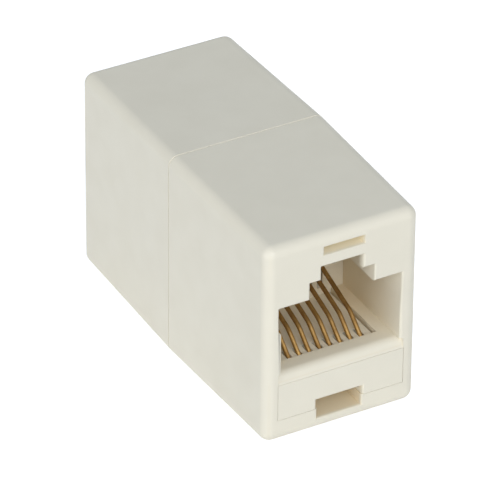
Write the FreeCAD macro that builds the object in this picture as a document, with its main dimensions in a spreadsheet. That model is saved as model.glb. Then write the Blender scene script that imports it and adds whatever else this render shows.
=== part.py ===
import FreeCAD, Part
import math
import os
import re
import Sketcher

# Inline coupler for two 8-way modular plugs.
# Frame: X across the coupler, Y along it, Z up. The origin is the lowest point at mid length, on the
# parting plane of the two half shells. The front socket opens towards -Y, the rear socket towards +Y.
# The rear half is the front half turned half a turn about Z, as two mouldings from one tool would be.

# Driving dimensions, in millimetres and degrees.
SIZES = {
    # half shell, outside
    "joint_width": 15.5,
    "joint_height": 20.3,
    "half_length": 16.75,
    "draft_angle": 0.924,
    "edge_radius": 1.0,
    "groove_chamfer": 0.06,
    # shallow slot above the socket, stacked down from the top of the end face
    "slot_cover": 1.08,
    "slot_width": 3.9,
    "slot_height": 0.67,
    "slot_depth": 1.6,
    # plug socket in the shell, stacked down from the slot
    "latch_bridge": 1.4,
    "notch_width": 4.1,
    "notch_height": 1.36,
    "notch_lip": 0.8,
    "step_width": 6.25,
    "step_height": 1.67,
    "opening_width": 11.9,
    "mouth_chamfer": 0.22,
    "corner_radius": 0.2,
    "guide_rail": 0.1,
    "rail_height": 4.15,
    # floor of the socket: a bar in front with a rounded bevel, and a ledge on each side
    "sill_height": 7.05,
    "sill_depth": 2.08,
    "bar_height": 0.95,
    "bevel_depth": 0.45,
    "bevel_radius": 0.8,
    "ledge_width": 1.28,
    # window below the socket, stacked up from the base of the end face
    "window_cover": 1.23,
    "window_width": 4.3,
    "window_offset": -0.09,
    "window_depth": 3.2,
    # wiring bay and cored pockets behind the sockets
    "side_wall": 1.55,
    "base_wall": 1.7,
    "coring_wall": 1.15,
    "coring_front": 1.8,
    # lap joint of the half shells
    "lap_thickness": 0.65,
    "lap_length": 1.2,
    "lap_clearance": 0.05,
    # contact carrier
    "panel_width": 12.36,
    "panel_bottom": 2.53,
    "carrier_clearance": 0.03,
    "floor_step": 0.42,
    "floor_gap": 0.15,
    "cavity_depth": 9.9,
    "comb_thickness": 1.2,
    "comb_cover": 0.61,
    "window_notch": 0.82,
    "window_relief": 0.1,
    "contact_slot_width": 0.52,
    "contact_slot_length": 1.85,
    "comb_slot_start": 0.25,
    "comb_slot_rise": 0.6,
    "tail_groove_roof": 0.3,
    # contact springs
    "contact_count": 8,
    "contact_pitch": 1.016,
    "wire_diameter": 0.42,
    "tip_gap": 0.35,
    "knee_depth": 4.75,
    "knee_rise": 0.98,
    "rear_slope": 18.5,
    "front_slope": 40.0,
    "front_bend_gap": 0.26,
    "tail_height": 4.55,
    "tail_length": 0.5,
    "knee_radius": 2.5,
    "bend_radius": 0.6,
    # insulated leads
    "lead_diameter": 0.75,
    "lead_straight": 1.3,
    "lead_first_rise": 1.0,
    "lead_layer": 1.6,
    "lead_bend_radius": 1.5,
}

NUMBERING = range(1, SIZES["contact_count"] + 1)

doc = FreeCAD.newDocument("coupler")
sheet = doc.addObject("Spreadsheet::Sheet", "Dimensions")
for row, (alias, value) in enumerate(SIZES.items(), start=1):
    sheet.set(f"A{row}", alias)
    sheet.set(f"B{row}", str(value))
    sheet.setAlias(f"B{row}", alias)
doc.recompute()


def formula(text):
    """Write a formula in the names of the sizes as an expression that reads the sheet."""
    return re.sub(r"[a-z_]+", lambda word: f"Dimensions.{word[0]}" if word[0] in SIZES else word[0], text)


def size(text):
    """Value of a formula in the names of the sizes."""
    return float(sheet.evalExpression(formula(text)))


def bind(target, prop, text):
    target.setExpression(prop, formula(text))


# ---------------------------------------------------------------- sketches

def make_sketch(body, name, plane, offset="0"):
    """Sketch on one of the body's origin planes, moved along that plane's normal."""
    sketch = body.newObject("Sketcher::SketchObject", name)
    support = next(item for item in body.Origin.OriginFeatures if item.Role == plane)
    sketch.AttachmentSupport = [(support, "")]
    sketch.MapMode = "FlatFace"
    bind(sketch, "AttachmentOffset.Base.z", offset)
    return sketch


def pin_point(sketch, geometry, point, place):
    """Hold a point of the sketch at a place given as two formulas."""
    for kind, text in zip(("DistanceX", "DistanceY"), place):
        constraint = sketch.addConstraint(Sketcher.Constraint(kind, -1, 1, geometry, point, size(text)))
        bind(sketch, f"Constraints[{constraint}]", text)


def add_polygon(sketch, corners):
    """Closed outline through corners given as pairs of formulas."""
    first = sketch.GeometryCount
    places = [FreeCAD.Vector(size(across), size(up), 0) for across, up in corners]
    for start, end in zip(places, places[1:] + places[:1]):
        sketch.addGeometry(Part.LineSegment(start, end), False)
    for step, corner in enumerate(corners):
        following = first + (step + 1) % len(corners)
        sketch.addConstraint(Sketcher.Constraint("Coincident", first + step, 2, following, 1))
        pin_point(sketch, first + step, 1, corner)


def add_box(sketch, left, right, bottom, top):
    add_polygon(sketch, [(left, bottom), (right, bottom), (right, top), (left, top)])


def octagon(half_width):
    """Corners of a wire's eight-sided section about its centre, as pairs of formulas."""
    long, short = f"({half_width})", f"({half_width}) * tan(22.5)"
    quarter = [(long, short), (short, long)]
    half = quarter + [(f"-{across}", up) for across, up in reversed(quarter)]
    return half + [(across, f"-{up}") for across, up in reversed(half)]


def add_octagon(sketch, centre, half_width):
    corners = octagon(half_width)
    add_polygon(sketch, [(f"{centre[0]} + {across}", f"{centre[1]} + {up}") for across, up in corners])


def rounded_corner(before, corner, after, radius):
    """Start, middle and end of the arc that rounds a corner between two straight runs."""
    back = (before - corner).normalize()
    ahead = (after - corner).normalize()
    half_turn = back.getAngle(ahead) / 2
    reach = radius / math.tan(half_turn)
    inward = (back + ahead).normalize()
    middle = corner + inward * (radius / math.sin(half_turn) - radius)
    return corner + back * reach, middle, corner + ahead * reach


def add_bent_line(sketch, corners, radii):
    """Straight runs through the corners, joined by tangent arcs: one radius for each inner corner."""
    places = [FreeCAD.Vector(size(across), size(up), 0) for across, up in corners]
    inner = range(1, len(places) - 1)
    bends = [rounded_corner(*places[step - 1:step + 2], size(radii[step - 1])) for step in inner]
    starts = [places[0]] + [bend[2] for bend in bends]
    ends = [bend[0] for bend in bends] + [places[-1]]
    runs = [sketch.addGeometry(Part.LineSegment(*pair), False) for pair in zip(starts, ends)]
    arcs = [sketch.addGeometry(Part.Arc(*bend), False) for bend in bends]
    pin_point(sketch, runs[0], 1, corners[0])
    pin_point(sketch, runs[-1], 2, corners[-1])
    for step in inner:
        arc = arcs[step - 1]
        turned = (places[step] - places[step - 1]).cross(places[step + 1] - places[step]).z > 0
        near, far = (1, 2) if turned else (2, 1)
        sketch.addConstraint(Sketcher.Constraint("Tangent", runs[step - 1], 2, arc, near))
        sketch.addConstraint(Sketcher.Constraint("Tangent", arc, far, runs[step], 1))
        constraint = sketch.addConstraint(Sketcher.Constraint("Radius", arc, size(radii[step - 1])))
        bind(sketch, f"Constraints[{constraint}]", radii[step - 1])
        apex = sketch.addGeometry(Part.Point(places[step]), True)
        pin_point(sketch, apex, 1, corners[step])
        sketch.addConstraint(Sketcher.Constraint("PointOnObject", apex, 1, runs[step - 1]))
        sketch.addConstraint(Sketcher.Constraint("PointOnObject", apex, 1, runs[step]))


# ---------------------------------------------------------------- body features

def make_body(label, turn=0):
    """Body with its own label, turned about Z by so many degrees."""
    body = doc.addObject("PartDesign::Body", label)
    body.Label = label
    body.Placement = FreeCAD.Placement(FreeCAD.Vector(), FreeCAD.Rotation(FreeCAD.Vector(0, 0, 1), turn))
    return body


def pad(body, sketch, length, **settings):
    return extrude(body, "PartDesign::Pad", sketch, length, settings)


def pocket(body, sketch, length, **settings):
    """Cut a sketch into the body and make sure that the cut takes something away."""
    before = body.Shape.Volume
    feature = extrude(body, "PartDesign::Pocket", sketch, length, settings)
    if feature.Shape.Volume >= before:
        raise RuntimeError(f"{feature.Label} cuts nothing")
    return feature


def extrude(body, kind, sketch, length, settings):
    feature = body.newObject(kind, f"{sketch.Name}_{kind.split('::')[1].lower()}")
    feature.Profile = sketch
    bind(feature, "Length", length)
    for name, value in settings.items():
        setattr(feature, name, value)
    sketch.Visibility = False
    doc.recompute()
    return feature


def repeat_contacts(body, feature):
    """Repeat a cut along X at the contact pitch, once for each contact."""
    pattern = body.newObject("PartDesign::LinearPattern", f"{feature.Name}_row")
    pattern.Originals = [feature]
    axis = next(item for item in body.Origin.OriginFeatures if item.Role == "X_Axis")
    pattern.Direction = (axis, [""])
    bind(pattern, "Length", "contact_pitch * (contact_count - 1)")
    pattern.Occurrences = SIZES["contact_count"]
    body.Tip = pattern
    doc.recompute()
    return pattern


def edges_where(shape, test):
    return [f"Edge{number}" for number, edge in enumerate(shape.Edges, start=1) if test(edge)]


def dress(body, kind, prop, text, test):
    """Fillet or chamfer the edges of the body's tip that pass a test."""
    base = body.Tip
    feature = body.newObject(kind, f"{base.Name}_{kind.split('::')[1].lower()}")
    feature.Base = (base, edges_where(base.Shape, test))
    bind(feature, prop, text)
    doc.recompute()
    return feature


# ---------------------------------------------------------------- half shell

FACE = "-half_length"
DRAFT = "half_length * tan(draft_angle)"
SLOT_TOP = f"(joint_height - {DRAFT} - slot_cover)"
SLOT_BOTTOM = f"({SLOT_TOP} - slot_height)"
NOTCH_TOP = f"({SLOT_BOTTOM} - latch_bridge)"
STEP_TOP = f"({NOTCH_TOP} - notch_height)"
OPENING_TOP = f"({STEP_TOP} - step_height)"
RAIL_TOP = "(sill_height + rail_height)"
CAVITY = "opening_width / 2"
RAIL = "(opening_width / 2 - guide_rail)"
RAIL_ROOT = "(opening_width / 2 + guide_rail)"
LEDGE_EDGE = f"({CAVITY} - ledge_width)"
PANEL_TOP = "(sill_height - bar_height)"
SEAT_SIDE = "(panel_width / 2 + carrier_clearance)"
SEAT_FLOOR = "(panel_bottom - carrier_clearance)"
SEAT_TOP = f"({PANEL_TOP} + carrier_clearance)"
WINDOW_BOTTOM = f"({DRAFT} + window_cover)"
BAY_SIDE = "(joint_width / 2 - side_wall)"
BAY_TOP = "(joint_height - base_wall)"


def at_depth(text):
    """Y of a point so far behind the front end face."""
    return f"-half_length + {text}"


def mirrored(right_side):
    """Outline from its right half, listed from bottom to top."""
    return right_side + [(f"-({across})", up) for across, up in reversed(right_side)]


def make_shell(label, turn):
    """Drafted, rounded half shell with the plug socket, the wiring bay and the lap joint."""
    body = make_body(label, turn)

    # drafted block: the side view sets the slope of base and top, two wedges off it that of the sides
    outline = make_sketch(body, f"{label}_outline", "YZ_Plane")
    add_polygon(outline, [
        ("0", "0"), ("0", "joint_height"), (FACE, f"joint_height - {DRAFT}"), (FACE, DRAFT)])
    pad(body, outline, "joint_width", Midplane=True)
    wedges = make_sketch(body, f"{label}_wedges", "XY_Plane")
    for sign in ("", "-"):
        side = f"{sign}(joint_width / 2)"
        add_polygon(wedges, [(side, "0"), (side, FACE), (f"{sign}(joint_width / 2 - {DRAFT})", FACE)])
    pocket(body, wedges, "3 * joint_height", Midplane=True)
    dress(body, "PartDesign::Fillet", "Radius", "edge_radius", lambda edge: edge.CenterOfMass.y < -0.01)
    dress(body, "PartDesign::Chamfer", "Size", "groove_chamfer", lambda edge: edge.BoundBox.YMin > -0.01)

    # the carrier's seat, and above it the socket: plug cavity, latch step and latch notch
    socket = make_sketch(body, f"{label}_socket", "XZ_Plane")
    add_box(socket, f"-{SEAT_SIDE}", SEAT_SIDE, SEAT_FLOOR, SEAT_TOP)
    add_polygon(socket, mirrored([
        (CAVITY, "sill_height"), (CAVITY, OPENING_TOP),
        ("step_width / 2", OPENING_TOP), ("step_width / 2", STEP_TOP),
        ("notch_width / 2", STEP_TOP), ("notch_width / 2", NOTCH_TOP),
    ]))
    pocket(body, socket, "half_length", Reversed=True)
    round_socket_corners(body)

    # shallow slot above and window below the socket, from the end face
    slot = make_sketch(body, f"{label}_slot", "XZ_Plane", "half_length")
    add_box(slot, "-slot_width / 2", "slot_width / 2", SLOT_BOTTOM, SLOT_TOP)
    pocket(body, slot, "slot_depth")
    window = make_sketch(body, f"{label}_window", "XZ_Plane", "half_length")
    add_box(window, "window_offset - window_width / 2", "window_offset + window_width / 2",
            WINDOW_BOTTOM, SEAT_FLOOR)
    pocket(body, window, "window_depth")
    break_mouth_edges(body)
    bevel_bar(body, label)

    # guide rails that centre the plug's body, from the broken edge back to the comb
    rails = make_sketch(body, f"{label}_rails", "XZ_Plane", "half_length - mouth_chamfer")
    for left, right in ((RAIL, RAIL_ROOT), (f"-{RAIL_ROOT}", f"-{RAIL}")):
        add_box(rails, left, right, "sill_height", RAIL_TOP)
    pad(body, rails, "cavity_depth - mouth_chamfer", Reversed=True)

    # the floor between cavity and seat stays as a bar in front and two ledges
    floor = make_sketch(body, f"{label}_floor", "XZ_Plane")
    add_box(floor, f"-{LEDGE_EDGE}", LEDGE_EDGE, SEAT_FLOOR, OPENING_TOP)
    pocket(body, floor, "half_length - sill_depth", Reversed=True)

    # the latch's room behind the thin lip that it catches on
    latch_room = make_sketch(body, f"{label}_latch_room", "XZ_Plane")
    add_box(latch_room, "-step_width / 2", "step_width / 2", OPENING_TOP, NOTCH_TOP)
    pocket(body, latch_room, "half_length - notch_lip", Reversed=True)

    # bay for the comb and the leads, open at the parting plane
    bay = make_sketch(body, f"{label}_bay", "XZ_Plane")
    add_box(bay, f"-{BAY_SIDE}", BAY_SIDE, "base_wall", BAY_TOP)
    pocket(body, bay, "half_length - cavity_depth", Reversed=True)

    # cored pockets above the socket, which keep the walls even
    coring = make_sketch(body, f"{label}_coring", "XZ_Plane")
    inner = "(step_width / 2 + coring_wall)"
    for left, right in ((inner, CAVITY), (f"-{CAVITY}", f"-{inner}")):
        add_box(coring, left, right, f"{OPENING_TOP} + coring_wall", SLOT_BOTTOM)
    pocket(body, coring, "half_length - coring_front", Reversed=True)

    # lap joint: a tongue round the +X half of the bay, a rebate for the other shell's round the -X half
    tongue = make_sketch(body, f"{label}_tongue", "XZ_Plane")
    add_half_ring(tongue, "", "lap_clearance", "lap_thickness")
    pad(body, tongue, "lap_length", Reversed=True)
    rebate = make_sketch(body, f"{label}_rebate", "XZ_Plane")
    add_half_ring(rebate, "-", "0", "lap_thickness + lap_clearance")
    pocket(body, rebate, "lap_length + lap_clearance", Reversed=True)
    return body


def round_socket_corners(body):
    """Small radius on the four outer corners of the stepped opening, along Y."""
    corners = [("opening_width / 2", OPENING_TOP), ("notch_width / 2", NOTCH_TOP)]
    places = [(side * size(across), size(up)) for across, up in corners for side in (-1, 1)]

    def is_corner(edge):
        middle = edge.CenterOfMass
        along = edge.BoundBox.XLength < 0.01 and edge.BoundBox.ZLength < 0.01
        return along and any(math.hypot(middle.x - x, middle.z - z) < 0.01 for x, z in places)

    dress(body, "PartDesign::Fillet", "Radius", "corner_radius", is_corner)


def bevel_bar(body, label):
    """Slope the bar's front, to lead the plug in, and round the slope's upper edge."""
    slope = make_sketch(body, f"{label}_slope", "YZ_Plane")
    add_polygon(slope, [(FACE, PANEL_TOP), (FACE, "sill_height"), (at_depth("bevel_depth"), "sill_height")])
    pocket(body, slope, "opening_width + 2 * mouth_chamfer", Midplane=True)
    face, top = size(at_depth("bevel_depth")), size("sill_height")

    def is_crest(edge):
        middle = edge.CenterOfMass
        return edge.BoundBox.XLength > 1 and math.hypot(middle.y - face, middle.z - top) < 0.01

    dress(body, "PartDesign::Fillet", "Radius", "bevel_radius", is_crest)


def break_mouth_edges(body):
    """Chamfer the end face's inner edges, apart from the slot's ceiling and the carrier's seat."""
    face, seat_side = size(FACE), size(SEAT_SIDE)
    spans = [(WINDOW_BOTTOM, SEAT_FLOOR), ("sill_height + 0.1", SLOT_TOP)]
    heights = [(size(low), size(high)) for low, high in spans]

    def is_mouth(edge):
        box, height = edge.BoundBox, edge.CenterOfMass.z
        inner = box.YMax < face + 0.01 and max(box.XMax, -box.XMin) < seat_side - 0.01
        return inner and any(low - 0.01 < height < high - 0.01 for low, high in heights)

    dress(body, "PartDesign::Chamfer", "Size", "mouth_chamfer", is_mouth)


def add_half_ring(sketch, sign, gap, thickness):
    """Half of the ring round the bay's mouth, on the side that the sign gives."""
    inner, outer = f"{sign}{BAY_SIDE}", f"{sign}({BAY_SIDE} + {thickness})"
    middle = f"{sign}({gap})"
    add_polygon(sketch, [
        (middle, f"base_wall - ({thickness})"), (outer, f"base_wall - ({thickness})"),
        (outer, f"{BAY_TOP} + {thickness}"), (middle, f"{BAY_TOP} + {thickness}"),
        (middle, BAY_TOP), (inner, BAY_TOP), (inner, "base_wall"), (middle, "base_wall"),
    ])


# ---------------------------------------------------------------- contact carrier

FLOOR_FRONT = "(sill_depth + carrier_clearance)"
COMB_FRONT = "(cavity_depth + carrier_clearance)"
COMB_BACK = "(cavity_depth + comb_thickness)"
RECESS_FLOOR = "(sill_height - floor_step)"
RECESS_SIDE = f"({LEDGE_EDGE} - floor_gap)"
FIRST_CONTACT = "(-contact_pitch * (contact_count - 1) / 2)"
TIP_DEPTH = f"({COMB_BACK} - tip_gap)"
COMB_TOP = f"({NOTCH_TOP} + comb_cover)"
KNEE_HEIGHT = "(sill_height + knee_rise)"
TIP_HEIGHT = f"({KNEE_HEIGHT} + ({TIP_DEPTH} - knee_depth) * tan(rear_slope))"
BEND_DEPTH = "(sill_depth + front_bend_gap + wire_diameter / 2)"


def make_carrier(label, turn):
    """Contact carrier: panel in front, slotted floor between the ledges, and comb behind the cavity."""
    body = make_body(label, turn)

    profile = make_sketch(body, f"{label}_profile", "YZ_Plane")
    add_polygon(profile, [
        (FACE, "panel_bottom"), (FACE, PANEL_TOP),
        (at_depth(FLOOR_FRONT), PANEL_TOP), (at_depth(FLOOR_FRONT), RECESS_FLOOR),
        (at_depth(COMB_FRONT), RECESS_FLOOR), (at_depth(COMB_FRONT), COMB_TOP),
        (at_depth(COMB_BACK), COMB_TOP), (at_depth(COMB_BACK), "panel_bottom"),
    ])
    pad(body, profile, "panel_width", Midplane=True)

    # in front of the comb the carrier lies under the ledges, and only the floor between them is raised
    sides = make_sketch(body, f"{label}_sides", "XZ_Plane", "half_length")
    for sign in ("", "-"):
        edges = (f"{sign}{RECESS_SIDE}", f"{sign}(panel_width / 2 + 1)")
        add_box(sides, *(edges if sign == "" else edges[::-1]), PANEL_TOP, RECESS_FLOOR)
    pocket(body, sides, COMB_FRONT)

    # slot that each contact dives through, running back as the groove that holds its tail
    groove = make_sketch(body, f"{label}_groove", "YZ_Plane", FIRST_CONTACT)
    roof = "tail_height + tail_groove_roof"
    add_polygon(groove, [
        (at_depth("sill_depth"), "panel_bottom - 1"), (at_depth("sill_depth"), "sill_height"),
        (at_depth("sill_depth + contact_slot_length"), "sill_height"),
        (at_depth("sill_depth + contact_slot_length"), roof),
        (at_depth(f"{COMB_BACK} + 1"), roof), (at_depth(f"{COMB_BACK} + 1"), "panel_bottom - 1"),
    ])
    repeat_contacts(body, pocket(body, groove, "contact_slot_width", Midplane=True))

    # comb slots in which the free tips travel
    comb = make_sketch(body, f"{label}_comb", "XZ_Plane", f"half_length - {COMB_FRONT}")
    add_box(comb, f"{FIRST_CONTACT} - contact_slot_width / 2", f"{FIRST_CONTACT} + contact_slot_width / 2",
            "sill_height + comb_slot_start", f"{TIP_HEIGHT} + comb_slot_rise")
    repeat_contacts(body, pocket(body, comb, "comb_thickness"))

    # upper half of the window in the end face, a little wider than the shell's
    notch = make_sketch(body, f"{label}_notch", "XZ_Plane", "half_length")
    half = "(window_width / 2 + window_relief)"
    add_box(notch, f"window_offset - {half}", f"window_offset + {half}", "panel_bottom - 1",
            "panel_bottom + window_notch")
    pocket(body, notch, "window_depth")
    side, face = size(half), size(FACE)
    low, high = size("panel_bottom"), size("panel_bottom + window_notch")

    def is_notch(edge):
        centre = edge.CenterOfMass
        inside = abs(centre.x - size("window_offset")) < side + 0.01 and low + 0.01 < centre.z < high + 0.01
        return edge.BoundBox.YMax < face + 0.01 and inside

    dress(body, "PartDesign::Chamfer", "Size", "mouth_chamfer", is_notch)
    return body


# ---------------------------------------------------------------- contact springs

def contact_place(number):
    """Formula for the X of a contact, counted from the -X side of the front socket."""
    return f"(contact_pitch * ({number} - (contact_count + 1) / 2))"


def make_contact(label, number, turn):
    """Formed wire: free tip in the comb, two slopes, a bend behind the sill and a straight tail."""
    body = make_body(label, turn)
    bend_height = f"{KNEE_HEIGHT} - (knee_depth - {BEND_DEPTH}) * tan(front_slope)"
    tail_end = f"{COMB_BACK} + tail_length"
    path = make_sketch(body, f"{label}_path", "YZ_Plane", contact_place(number))
    add_bent_line(path, [
        (at_depth(tail_end), "tail_height"),
        (at_depth(BEND_DEPTH), "tail_height"),
        (at_depth(BEND_DEPTH), bend_height),
        (at_depth("knee_depth"), KNEE_HEIGHT),
        (at_depth(TIP_DEPTH), TIP_HEIGHT),
    ], ["bend_radius", "bend_radius", "knee_radius"])
    section = make_sketch(body, f"{label}_section", "XZ_Plane", f"half_length - ({tail_end})")
    add_octagon(section, (contact_place(number), "tail_height"), "wire_diameter / 2")
    doc.recompute()
    wire = body.newObject("PartDesign::AdditivePipe", f"{label}_wire")
    wire.Profile = section
    wire.Spine = path
    doc.recompute()
    return body


# ---------------------------------------------------------------- leads

def lead_layers():
    """Level of each lead above the tails: the inner pairs lie lowest, the outer pairs highest."""
    count = SIZES["contact_count"]
    middle = (count + 1) / 2
    order = sorted(NUMBERING, key=lambda number: (abs(number - middle), number))
    return {number: level for level, number in enumerate(order)}


def bent_path(points, radius):
    """Straight runs joined by tangent arcs, as one wire."""
    edges, start = [], points[0]
    for before, corner, after in zip(points, points[1:], points[2:]):
        run = min((corner - before).Length, (after - corner).Length)
        half_turn = (before - corner).getAngle(after - corner) / 2
        bend = rounded_corner(before, corner, after, min(radius, 0.45 * run * math.tan(half_turn)))
        edges += [Part.LineSegment(start, bend[0]), Part.Arc(*bend)]
        start = bend[2]
    edges.append(Part.LineSegment(start, points[-1]))
    return Part.Wire([edge.toShape() for edge in edges])


def make_lead(label, number, level):
    """Insulated lead from a front tail over the middle to the rear tail of the same number."""
    across = size(contact_place(number))
    low = size("tail_height")
    high = low + size("lead_first_rise") + level * size("lead_layer")
    end = size(f"half_length - ({COMB_BACK} + tail_length)")
    turn = end - size("lead_straight")
    points = [FreeCAD.Vector(*place) for place in (
        (across, -end, low), (across, -turn, low), (0, 0, high), (-across, turn, low), (-across, end, low))]
    path = bent_path(points, size("lead_bend_radius"))
    corners = [points[0] + FreeCAD.Vector(size(x), 0, size(z)) for x, z in octagon("lead_diameter / 2")]
    section = Part.makePolygon(corners + corners[:1])
    lead = doc.addObject("Part::Feature", label)
    lead.Label = label
    lead.Shape = path.makePipeShell([section], True, False)
    ratio = lead.Shape.Volume / (Part.Face(section).Area * path.Length)
    if abs(ratio - 1) > 0.01:
        raise RuntimeError(f"{label} is {ratio:.3f} of its section times its length")
    return lead


# ---------------------------------------------------------------- assembly and export

parts = []
for place, turn in (("front", 0), ("rear", 180)):
    parts.append(make_shell(f"{place}_shell", turn))
    parts.append(make_carrier(f"{place}_insert", turn))
    parts += [make_contact(f"{place}_contact_{number}", number, turn) for number in NUMBERING]
parts += [make_lead(f"lead_{number}", number, level) for number, level in lead_layers().items()]
doc.recompute()

for item in doc.Objects:
    if "Invalid" in item.State or "Error" in item.State:
        raise RuntimeError(f"{item.Label} failed: {item.State}")
for part in parts:
    if part.Shape.isNull() or not part.Shape.isValid() or len(part.Shape.Solids) != 1:
        raise RuntimeError(f"{part.Label} isn't one valid solid")

os.makedirs("parts", exist_ok=True)
for part in parts:
    part.Shape.exportStep(f"parts/{part.Label}.step")
    box = part.Shape.BoundBox
    print(f"{part.Label}: {part.Shape.Volume:.2f} mm3, X {box.XMin:.2f} {box.XMax:.2f},"
          f" Y {box.YMin:.2f} {box.YMax:.2f}, Z {box.ZMin:.2f} {box.ZMax:.2f}")
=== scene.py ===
import math

import bpy
from mathutils import Matrix, Vector


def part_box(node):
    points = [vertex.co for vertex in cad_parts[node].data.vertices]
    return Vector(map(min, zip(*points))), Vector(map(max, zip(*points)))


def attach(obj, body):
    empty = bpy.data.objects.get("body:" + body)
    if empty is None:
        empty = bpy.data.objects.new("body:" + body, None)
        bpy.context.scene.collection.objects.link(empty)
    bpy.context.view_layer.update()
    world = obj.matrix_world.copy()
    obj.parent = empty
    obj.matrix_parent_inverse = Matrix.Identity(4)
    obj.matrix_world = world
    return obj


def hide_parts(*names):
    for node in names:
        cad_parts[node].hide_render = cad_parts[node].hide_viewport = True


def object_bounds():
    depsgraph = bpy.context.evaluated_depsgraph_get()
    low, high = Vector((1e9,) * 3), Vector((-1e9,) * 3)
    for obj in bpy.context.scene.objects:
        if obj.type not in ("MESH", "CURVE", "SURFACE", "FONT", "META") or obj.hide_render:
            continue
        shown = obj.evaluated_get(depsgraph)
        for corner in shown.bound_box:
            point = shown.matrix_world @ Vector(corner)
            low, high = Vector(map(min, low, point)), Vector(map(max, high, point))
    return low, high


# Dressed model of an ivory inline coupler for two modular plugs. Metres, +Z up, front socket towards -Y.

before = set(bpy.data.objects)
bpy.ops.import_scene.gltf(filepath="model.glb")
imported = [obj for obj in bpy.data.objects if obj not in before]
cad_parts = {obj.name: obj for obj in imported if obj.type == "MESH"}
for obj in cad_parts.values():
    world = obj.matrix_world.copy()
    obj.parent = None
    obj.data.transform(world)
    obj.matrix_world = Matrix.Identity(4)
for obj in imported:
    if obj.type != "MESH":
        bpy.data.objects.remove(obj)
bounds_at_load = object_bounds()

MM = 0.001
MERGE_DISTANCE = 0.002 * MM
PLACES = {"front": 0.0, "rear": math.pi}
CONTACTS = range(1, 9)


# ---------------------------------------------------------------- node helpers

def new_group(name, inputs, outputs):
    """Shader node group with named sockets: {name: (type, default)} in, {name: type} out."""
    group = bpy.data.node_groups.new(name, "ShaderNodeTree")
    for label, (kind, value) in inputs.items():
        socket = group.interface.new_socket(name=label, in_out="INPUT", socket_type=kind)
        socket.default_value = value
    for label, kind in outputs.items():
        group.interface.new_socket(name=label, in_out="OUTPUT", socket_type=kind)
    return group, group.nodes.new("NodeGroupInput").outputs, group.nodes.new("NodeGroupOutput").inputs


def add(tree, kind, sockets=None, **settings):
    """Node with settings on it and on its sockets: a socket takes a value or another node's output."""
    node = tree.nodes.new(kind)
    for name, value in settings.items():
        setattr(node, name, value)
    for socket, value in (sockets or {}).items():
        if isinstance(value, bpy.types.NodeSocket):
            tree.links.new(value, node.inputs[socket])
        else:
            node.inputs[socket].default_value = value
    return node


def noise(tree, vector, scale, detail, rough):
    return add(tree, "ShaderNodeTexNoise",
               {"Vector": vector, "Scale": scale, "Detail": detail, "Roughness": rough}).outputs["Fac"]


def remap(tree, value, low, high, to_low=0.0, to_high=1.0):
    return add(tree, "ShaderNodeMapRange", {"Value": value, "From Min": low, "From Max": high,
                                            "To Min": to_low, "To Max": to_high}).outputs["Result"]


def maths(tree, operation, first, second=0.0):
    return add(tree, "ShaderNodeMath", {0: first, 1: second}, operation=operation).outputs[0]


def mix_color(tree, factor, first, second):
    return add(tree, "ShaderNodeMix", {0: factor, 6: first, 7: second}, data_type="RGBA").outputs[2]


# ---------------------------------------------------------------- shared effects

# Painted shade inside socket and window, and painted warm light inside the slot, growing with depth behind
# the end face. All in mm: the depth below the sides, and below top and base, over which the inside begins,
# and the heights at which window, socket and slot follow on each other.
SIDE_SKIN = (0.6, 1.0)
BASE_SKIN = (0.8, 1.2)
WINDOW_TO_SOCKET = (6.4, 6.8)
SOCKET_TO_SLOT = (17.3, 17.6)
# Depths behind the end face, in mm, at which the painted shade and light start and at which they are full.
TINT_START = 0.05
TINT_FULL = {"window": 0.4, "socket": 7.0, "slot": 0.4}

CLOUD_COLOR = (0.55, 0.5, 0.4, 1)
SPECK_COLOR = (0.2, 0.16, 0.11, 1)
SPECK_SHARE = 0.07


def painted_shade_and_light_masks(tree, place):
    """Masks of the faces inside socket and window, where shade is painted, and inside the slot, where warm
    light is painted.
    """
    low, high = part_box("front_shell")
    parts = add(tree, "ShaderNodeSeparateXYZ", {"Vector": place}).outputs
    across, along, up = maths(tree, "ABSOLUTE", parts[0]), maths(tree, "ABSOLUTE", parts[1]), parts[2]
    depth = maths(tree, "SUBTRACT", -low[1], along)
    inside = remap(tree, across, *(high[0] - skin * MM for skin in SIDE_SKIN))
    for edge, inward in ((high[2], -MM), (low[2], MM)):
        skin = remap(tree, up, *(edge + inward * depth_below for depth_below in BASE_SKIN))
        inside = maths(tree, "MINIMUM", inside, skin)
    above_window = remap(tree, up, *(height * MM for height in WINDOW_TO_SOCKET))
    above_socket = remap(tree, up, *(height * MM for height in SOCKET_TO_SLOT))
    full = remap(tree, above_window, 0.0, 1.0, TINT_FULL["window"] * MM, TINT_FULL["socket"] * MM)
    socket_depth = remap(tree, depth, TINT_START * MM, full)
    slot_depth = remap(tree, depth, TINT_START * MM, TINT_FULL["slot"] * MM)
    in_socket = maths(tree, "MULTIPLY", socket_depth, maths(tree, "SUBTRACT", 1.0, above_socket))
    in_slot = maths(tree, "MULTIPLY", slot_depth, above_socket)
    return maths(tree, "MULTIPLY", in_socket, inside), maths(tree, "MULTIPLY", in_slot, inside)


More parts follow.
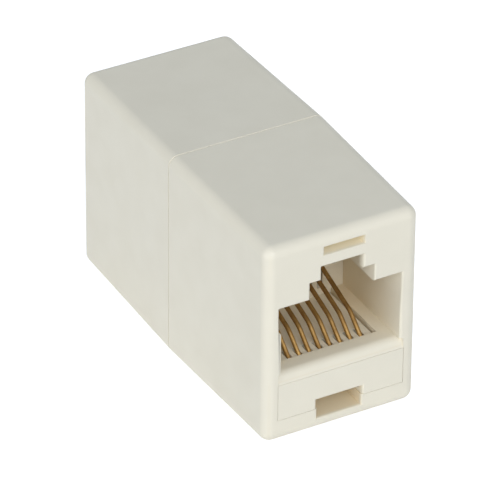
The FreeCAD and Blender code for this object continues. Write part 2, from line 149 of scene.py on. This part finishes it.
def make_moulded_group():
    """Satin injection moulding: faint flow mottling, a fine spark-eroded grain and rare specks, with painted
    shade inside socket and window and painted warm light inside the slot.
    """
    group, entry, leave = new_group(
        "moulded_surface",
        {"Color": ("NodeSocketColor", (0.8, 0.77, 0.69, 1)),
         "Flow Color": ("NodeSocketColor", (0.75, 0.7, 0.6, 1)),
         # The first of these colours is painted shade for the deep socket and window; the slot's colour is
         # painted warm light.
         "Painted Shade Color": ("NodeSocketColor", (0.8, 0.68, 0.48, 1)),
         "Painted Slot Light Color": ("NodeSocketColor", (0.95, 0.865, 0.67, 1)),
         "Painted Shade And Light Amount": ("NodeSocketFloat", 0.0), "Flow Amount": ("NodeSocketFloat", 0.25),
         "Speck Amount": ("NodeSocketFloat", 0.35), "Gloss": ("NodeSocketFloat", 0.42),
         "Grain Depth": ("NodeSocketFloat", 0.25)},
        {"Color": "NodeSocketColor", "Roughness": "NodeSocketFloat", "Normal": "NodeSocketVector"})
    place = add(group, "ShaderNodeTexCoord").outputs["Object"]
    flow = noise(group, place, 95.0, 3.0, 0.55)
    cloud = noise(group, place, 420.0, 2.0, 0.5)
    grain = noise(group, place, 9000.0, 2.0, 0.6)
    ripple = noise(group, place, 260.0, 2.0, 0.5)

    streaked = maths(group, "MULTIPLY", remap(group, flow, 0.35, 0.7), entry["Flow Amount"])
    color = mix_color(group, streaked, entry["Color"], entry["Flow Color"])
    # Painted shade: socket and window faces turn darker and warmer with depth. Painted light: slot faces
    # turn brighter and warmer.
    for mask, painted_color in zip(painted_shade_and_light_masks(group, place), ("Painted Shade Color", "Painted Slot Light Color")):
        amount = maths(group, "MULTIPLY", mask, entry["Painted Shade And Light Amount"])
        color = mix_color(group, amount, color, entry[painted_color])
    color = mix_color(group, remap(group, cloud, 0.3, 0.7, 0.0, 0.05), color, CLOUD_COLOR)

    cells = add(group, "ShaderNodeTexVoronoi", {"Vector": place, "Scale": 300.0, "Randomness": 1.0}).outputs
    spot = remap(group, cells["Distance"], 0.03, 0.07, 1.0, 0.0)
    draw = add(group, "ShaderNodeSeparateColor", {"Color": cells["Color"]}).outputs[0]
    rare_spot = maths(group, "MULTIPLY", spot, maths(group, "GREATER_THAN", draw, 1.0 - SPECK_SHARE))
    speck = maths(group, "MULTIPLY", rare_spot, entry["Speck Amount"])
    group.links.new(mix_color(group, speck, color, SPECK_COLOR), leave["Color"])

    rough = maths(group, "ADD", entry["Gloss"], remap(group, cloud, 0.3, 0.7, -0.05, 0.05))
    group.links.new(rough, leave["Roughness"])
    bump = add(group, "ShaderNodeBump",
               {"Height": grain, "Strength": entry["Grain Depth"], "Distance": 0.01 * MM}).outputs["Normal"]
    wave = add(group, "ShaderNodeBump",
               {"Height": ripple, "Strength": 0.25, "Distance": 0.06 * MM, "Normal": bump}).outputs["Normal"]
    group.links.new(wave, leave["Normal"])
    return group


def make_wire_group():
    """Drawn and plated spring wire: fine streaks along the wire, thin plating and darker tarnish."""
    group, entry, leave = new_group(
        "plated_wire",
        {"Color": ("NodeSocketColor", (0.5, 0.32, 0.12, 1)),
         "Tarnish Color": ("NodeSocketColor", (0.24, 0.13, 0.045, 1)),
         "Tarnish Amount": ("NodeSocketFloat", 0.65), "Polish": ("NodeSocketFloat", 0.4)},
        {"Color": "NodeSocketColor", "Roughness": "NodeSocketFloat", "Normal": "NodeSocketVector"})
    place = add(group, "ShaderNodeTexCoord").outputs["Object"]
    along = add(group, "ShaderNodeMapping", {"Vector": place, "Scale": (1.0, 0.08, 0.3)}).outputs["Vector"]
    streak = noise(group, along, 9000.0, 2.0, 0.6)
    patch = noise(group, place, 700.0, 4.0, 0.6)
    tarnish = maths(group, "MULTIPLY", remap(group, patch, 0.38, 0.66), entry["Tarnish Amount"])
    group.links.new(mix_color(group, tarnish, entry["Color"], entry["Tarnish Color"]), leave["Color"])
    dull = maths(group, "ADD", entry["Polish"], maths(group, "MULTIPLY", tarnish, 0.3))
    rough = maths(group, "ADD", dull, remap(group, streak, 0.3, 0.7, -0.06, 0.06))
    group.links.new(rough, leave["Roughness"])
    bump = add(group, "ShaderNodeBump", {"Height": streak, "Strength": 0.3, "Distance": 0.008 * MM})
    group.links.new(bump.outputs["Normal"], leave["Normal"])
    return group


# ---------------------------------------------------------------- materials

def effect_material(name, group, values, **constants):
    """Material with its colour, gloss and relief from an effect, and constants on the shader itself."""
    material = bpy.data.materials.new(name)
    material.use_nodes = True
    tree = material.node_tree
    shader = next(node for node in tree.nodes if node.type == "BSDF_PRINCIPLED")
    effect = add(tree, "ShaderNodeGroup", values, node_tree=group)
    for label, socket in (("Color", "Base Color"), ("Roughness", "Roughness"), ("Normal", "Normal")):
        tree.links.new(effect.outputs[label], shader.inputs[socket])
    for socket, value in constants.items():
        shader.inputs[socket].default_value = value
    return material


def plastic(name, color, flow_color, **values):
    return effect_material(name, MOULDED, {"Color": color, "Flow Color": flow_color, **values}, IOR=1.5)


MOULDED = make_moulded_group()
IVORY, WARM_IVORY = (0.86, 0.81, 0.68, 1), (0.84, 0.78, 0.64, 1)
# The shell takes the full painted shade and slot light, and the carrier 0.3 of it.
IVORY_SHELL = plastic("ivory_shell", IVORY, WARM_IVORY, **{"Painted Shade And Light Amount": 1.0})
IVORY_CARRIER = plastic("ivory_carrier", IVORY, WARM_IVORY, **{"Painted Shade And Light Amount": 0.3, "Gloss": 0.38})
GOLD = effect_material("gold_plated_bronze", make_wire_group(), {}, Metallic=1.0)
LEAD_COLORS = {
    1: ("blue", (0.05, 0.16, 0.55)), 2: ("orange", (0.85, 0.27, 0.03)), 3: ("black", (0.02, 0.02, 0.02)),
    4: ("red", (0.62, 0.03, 0.03)), 5: ("green", (0.03, 0.3, 0.07)), 6: ("yellow", (0.85, 0.65, 0.05)),
    7: ("brown", (0.18, 0.08, 0.03)), 8: ("slate", (0.25, 0.27, 0.3)),
}
LEAD_GLOSS = 0.35
LEAD_FLOW_SHADE = 0.8


def dress(item, material):
    item.data.materials.clear()
    item.data.materials.append(material)


def dress_lead(number, color_name, color):
    """Insulation in one colour, with slightly darker flow streaks."""
    darker = (*(LEAD_FLOW_SHADE * channel for channel in color), 1)
    material = plastic(f"pvc_{color_name}", (*color, 1), darker, Gloss=LEAD_GLOSS)
    dress(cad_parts[f"lead_{number}"], material)


# ---------------------------------------------------------------- modelling helpers

def deselect_all():
    for item in bpy.context.selected_objects:
        item.select_set(False)


def own_copy(source, name):
    """Copy of a piece with its own mesh, the only one selected and the active one."""
    deselect_all()
    piece = source.copy()
    piece.data = source.data.copy()
    piece.name = name
    bpy.context.scene.collection.objects.link(piece)
    piece.select_set(True)
    bpy.context.view_layer.objects.active = piece
    return piece


def select_box(piece, low, high):
    """Select the points of a piece in edit mode that lie between two corners of a box in mm."""
    bpy.ops.mesh.select_all(action="DESELECT")
    bpy.ops.object.mode_set(mode="OBJECT")
    for vertex in piece.data.vertices:
        vertex.select = all(a * MM <= at <= b * MM for a, at, b in zip(low, vertex.co, high))
    bpy.ops.object.mode_set(mode="EDIT")


def finish_surface(piece, radius, segments, bevel_angle, smooth_angle):
    """Round the sharp edges to a radius in mm. Flat faces are shaded flat: only the edges turn the light."""
    bevel = piece.modifiers.new("edge_radius", "BEVEL")
    bevel.width = radius * MM
    bevel.segments = segments
    bevel.limit_method = "ANGLE"
    bevel.angle_limit = math.radians(bevel_angle)
    bpy.ops.object.modifier_apply(modifier=bevel.name)
    bpy.ops.object.shade_smooth_by_angle(angle=math.radians(smooth_angle))
    weighted = piece.modifiers.new("flat_faces", "WEIGHTED_NORMAL")
    weighted.mode = "FACE_AREA"
    weighted.keep_sharp = True
    bpy.ops.object.modifier_apply(modifier=weighted.name)


# ---------------------------------------------------------------- mouldings

# Socket and latch notch at the end face, in mm: half width, top and depth. Their upper corners are sharper
# than in the solids, at every point of the chamfer round the mouth and at the far end.
MOUTHS = ((6.17, 14.07, 9.9), (2.27, 17.1, 0.8))
CHAMFER_POINTS = (0.0, 0.073, 0.147, 0.22)
CORNER_REACH = Vector((0.45, 0.01, 0.45))
CORNER_SCALE = 0.3
# The mould is a little uneven: (low corner, high corner, shift) in mm, for the points inside that box.
MOUTH_OFFSETS = (
    ((-6.3, -16.8, 11.1), (-5.86, -6.8, 14.0), (-0.15, 0.0, 0.0)),
    ((5.86, -16.6, 11.1), (6.1, -6.8, 14.0), (-0.1, 0.0, 0.0)),
    ((5.9, -16.8, 13.6), (6.2, -16.59, 14.1), (-0.1, 0.0, 0.0)),
    ((-2.2, -16.8, 17.9), (-1.9, -14.9, 19.0), (0.18, 0.0, 0.0)),
    ((1.9, -16.6, 17.9), (2.0, -14.9, 19.0), (0.15, 0.0, 0.0)),
    ((-2.1, -16.6, 18.2), (2.2, -14.9, 18.3), (0.0, 0.0, -0.19)),
)
# The groove round the joint is a little deeper than its chamfer.
GROOVE_OFFSETS = (
    ((-8.0, -0.01, -1.0), (-7.3, 0.01, 21.0), (0.08, 0.0, 0.0)),
    ((7.3, -0.01, -1.0), (8.0, 0.01, 21.0), (-0.08, 0.0, 0.0)),
    ((-8.0, -0.01, 20.0), (8.0, 0.01, 21.0), (0.0, 0.0, -0.03)),
    ((-8.0, -0.01, -1.0), (8.0, 0.01, 0.3), (0.0, 0.0, 0.03)),
)
# Triangles that turn by less than this, in degrees, are joined into one flat face.
FLAT_ANGLE = 0.4


def mouth_corners():
    """Upper corners of socket and latch notch in mm, from the end face to the far end."""
    face = bounds_at_load[0][1] / MM
    return [Vector((side * (half_width - inward), face + depth, top - inward))
            for half_width, top, far_end in MOUTHS
            for inward, depth in (*zip(CHAMFER_POINTS, CHAMFER_POINTS), (CHAMFER_POINTS[-1], far_end))
            for side in (-1, 1)]


def soften_edges(node, corners=(), offsets=()):
    """Copy of a moulded CAD node with the small radii that its mould leaves on every sharp edge."""
    piece = own_copy(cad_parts[node], f"{node}_softened")
    for key in list(piece.keys()):
        del piece[key]
    piece.parent = None
    bpy.ops.object.mode_set(mode="EDIT")
    bpy.ops.mesh.select_all(action="SELECT")
    bpy.ops.mesh.remove_doubles(threshold=MERGE_DISTANCE)
    bpy.ops.mesh.dissolve_limited(angle_limit=math.radians(FLAT_ANGLE))
    for corner in corners:
        select_box(piece, corner - CORNER_REACH, corner + CORNER_REACH)
        bpy.ops.transform.resize(value=(CORNER_SCALE, 1.0, CORNER_SCALE), center_override=corner * MM)
    for low, high, shift in offsets:
        select_box(piece, low, high)
        bpy.ops.transform.translate(value=Vector(shift) * MM)
    bpy.ops.mesh.select_all(action="SELECT")
    bpy.ops.mesh.remove_doubles(threshold=2 * MERGE_DISTANCE)
    bpy.ops.object.mode_set(mode="OBJECT")
    finish_surface(piece, radius=0.05, segments=2, bevel_angle=50, smooth_angle=50)
    return piece


# ---------------------------------------------------------------- contact wire

# Its path in the plane X = 0 of the front socket, as (depth behind the end face, height) in mm.
TAIL_END = (11.6, 4.55)
TAIL_BEND = (2.55, 4.55)
FRONT_BEND = (2.55, 6.184)
KNEE = (4.75, 8.03)
TIP = (10.75, 10.04)
BEND_RADII = (0.6, 0.6, 2.5)
BEND_STEPS = 10
WIRE_RADIUS = 0.21
WIRE_SIDES = 20


def make_contact_wire():
    """Round spring wire: a disc drawn along the tail, swept round each bend and drawn on to the free tip."""
    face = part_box("front_shell")[0][1]
    corners = [Vector((0, face + depth * MM, height * MM))
               for depth, height in (TAIL_END, TAIL_BEND, FRONT_BEND, KNEE, TIP)]
    deselect_all()
    bpy.ops.mesh.primitive_circle_add(vertices=WIRE_SIDES, radius=WIRE_RADIUS * MM, fill_type="NGON",
                                      location=corners[0], rotation=(math.radians(90), 0, 0))
    wire = bpy.context.object
    wire.name = "contact_wire"
    bpy.ops.object.transform_apply(location=True, rotation=True)
    bpy.ops.object.mode_set(mode="EDIT")
    bpy.ops.mesh.select_all(action="SELECT")
    here = corners[0]
    for before, corner, after, radius in zip(corners, corners[1:], corners[2:], BEND_RADII):
        back, ahead = (before - corner).normalized(), (after - corner).normalized()
        turn = math.pi - back.angle(ahead)
        reach = radius * MM * math.tan(turn / 2)
        center = corner + (back + ahead).normalized() * (radius * MM / math.cos(turn / 2))
        axis = ahead.cross(-back).normalized()
        bpy.ops.mesh.extrude_region_move(TRANSFORM_OT_translate={"value": corner + back * reach - here})
        bpy.ops.mesh.spin(steps=BEND_STEPS, angle=turn, center=center, axis=axis)
        here = corner + ahead * reach
    bpy.ops.mesh.extrude_region_move(TRANSFORM_OT_translate={"value": corners[-1] - here})
    bpy.ops.mesh.select_all(action="SELECT")
    bpy.ops.mesh.remove_doubles(threshold=MERGE_DISTANCE)
    bpy.ops.mesh.normals_make_consistent(inside=False)
    bpy.ops.object.mode_set(mode="OBJECT")
    finish_surface(wire, radius=0.06, segments=3, bevel_angle=60, smooth_angle=40)
    return wire


# ---------------------------------------------------------------- pieces in their places

def put_in_place(master, name, across, turn, node, material):
    """Copy of a master in place of a CAD node, turned about the coupler's middle and moved across it."""
    piece = own_copy(master, name)
    piece.location = (across, 0, 0)
    piece.rotation_mode = "XYZ"
    piece.rotation_euler = (0, 0, turn)
    bpy.ops.object.transform_apply(location=True, rotation=True)
    dress(piece, material)
    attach(piece, "root")
    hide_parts(node)


contact_wire = make_contact_wire()
front_shell = soften_edges("front_shell", mouth_corners(), MOUTH_OFFSETS + GROOVE_OFFSETS)
front_insert = soften_edges("front_insert")
for place, turn in PLACES.items():
    for kind, master, material in (
            ("shell", front_shell, IVORY_SHELL), ("insert", front_insert, IVORY_CARRIER)):
        put_in_place(master, f"{place}_{kind}_moulding", 0.0, turn, f"{place}_{kind}", material)
    for number in CONTACTS:
        node = f"{place}_contact_{number}"
        low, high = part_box(node)
        put_in_place(contact_wire, f"{node}_wire", (low[0] + high[0]) / 2, turn, node, GOLD)
for master in (contact_wire, front_shell, front_insert):
    bpy.data.objects.remove(master)
for number, (color_name, color) in LEAD_COLORS.items():
    dress_lead(number, color_name, color)


# ---------------------------------------------------------------- stage, light and camera

WHITE = (1.0, 1.0, 1.0, 1.0)
AMBIENT_COLOR = (0.79, 0.89, 1.0, 1.0)
AMBIENT_STRENGTH = 0.387
FLOOR_SIZE = 4.0
FLOOR_COLOR = (0.8, 0.8, 0.8, 1.0)
FLOOR_GLOW = 0.75
# Name, azimuth and elevation in degrees, and power in watts.
LAMPS = (("left_panel", -75, 8, 5.35), ("front_panel", 0, 30, 4.5), ("near_panel", -25, 35, 4.05))
LAMP_SIZE = 0.7
LAMP_DISTANCE = 1.3
LAMP_TARGET = Vector((0, 0, 0.01))
# The camera's target, distance, sensor and lens are in mm, and its angles in degrees.
CAMERA_TARGET = Vector((0.391, 0.0, 8.355))
CAMERA_DISTANCE = 458.992
CAMERA_AZIMUTH, CAMERA_ELEVATION, CAMERA_ROLL = -29.448, 33.009, 0.524
SENSOR_WIDTH = 36.0
FOCAL_LENGTH = 376.801776


def show_by_ray(tree, lighting, seen, output):
    """One shader lights the object. The other is what the camera and shiny or clear surfaces see."""
    path = add(tree, "ShaderNodeLightPath").outputs
    reflected = maths(tree, "MAXIMUM", path["Is Glossy Ray"], path["Is Transmission Ray"])
    is_seen = maths(tree, "MAXIMUM", path["Is Camera Ray"], reflected)
    choice = add(tree, "ShaderNodeMixShader", {0: is_seen, 1: lighting.outputs[0], 2: seen.outputs[0]})
    add(tree, output, {"Surface": choice.outputs[0]})


def make_world():
    """Faint sky light from all round, in front of a white backdrop."""
    world = bpy.data.worlds.new("studio")
    bpy.context.scene.world = world
    world.use_nodes = True
    tree = world.node_tree
    tree.nodes.clear()
    ambient = add(tree, "ShaderNodeBackground", {"Color": AMBIENT_COLOR, "Strength": AMBIENT_STRENGTH})
    backdrop = add(tree, "ShaderNodeBackground", {"Color": WHITE, "Strength": 1.0})
    show_by_ray(tree, ambient, backdrop, "ShaderNodeOutputWorld")


def make_floor():
    """Pale floor that shows as white and keeps the object's shadow."""
    bpy.ops.mesh.primitive_plane_add(size=FLOOR_SIZE, location=(0, 0, 0))
    floor = bpy.context.object
    floor.name = "floor"
    material = bpy.data.materials.new("white_sweep")
    material.use_nodes = True
    tree = material.node_tree
    tree.nodes.clear()
    paper = add(tree, "ShaderNodeBsdfDiffuse", {"Color": FLOOR_COLOR})
    glow = add(tree, "ShaderNodeEmission", {"Color": WHITE, "Strength": FLOOR_GLOW})
    glowing_paper = add(tree, "ShaderNodeAddShader", {0: paper.outputs[0], 1: glow.outputs[0]})
    show_by_ray(tree, paper, glowing_paper, "ShaderNodeOutputMaterial")
    dress(floor, material)


def direction(azimuth, elevation):
    """Unit vector from the coupler at an azimuth, 0 in front of it and -90 to its left, and an elevation."""
    across, up = math.radians(azimuth), math.radians(elevation)
    return Vector((math.sin(across) * math.cos(up), -math.cos(across) * math.cos(up), math.sin(up)))


def soft_lamp(name, azimuth, elevation, power):
    """Round diffuser a good arm's length away, so that it lights each face evenly."""
    data = bpy.data.lights.new(name, "AREA")
    data.shape = "DISK"
    data.size = LAMP_SIZE
    data.energy = power
    lamp = bpy.data.objects.new(name, data)
    bpy.context.scene.collection.objects.link(lamp)
    lamp.location = direction(azimuth, elevation) * LAMP_DISTANCE
    lamp.rotation_euler = (LAMP_TARGET - lamp.location).to_track_quat("-Z", "Y").to_euler()


def make_camera():
    """Long-lens camera to the front left of the coupler and above it."""
    roll = math.radians(CAMERA_ROLL)
    back = direction(CAMERA_AZIMUTH, CAMERA_ELEVATION)
    right = (-back).cross(Vector((0, 0, 1))).normalized()
    up = right.cross(-back)
    turned_right = math.cos(roll) * right + math.sin(roll) * up
    turned_up = -math.sin(roll) * right + math.cos(roll) * up
    data = bpy.data.cameras.new("camera")
    data.sensor_width = SENSOR_WIDTH
    data.lens = FOCAL_LENGTH
    data.clip_start, data.clip_end = 0.05, 20.0
    camera = bpy.data.objects.new("camera", data)
    bpy.context.scene.collection.objects.link(camera)
    axes = Matrix((turned_right, turned_up, back)).transposed()
    place = CAMERA_TARGET * MM + back * CAMERA_DISTANCE * MM
    camera.matrix_world = Matrix.Translation(place) @ axes.to_4x4()
    bpy.context.scene.camera = camera


make_world()
make_floor()
for name, azimuth, elevation, power in LAMPS:
    soft_lamp(name, azimuth, elevation, power)
make_camera()
bpy.context.scene.view_settings.view_transform = "Standard"
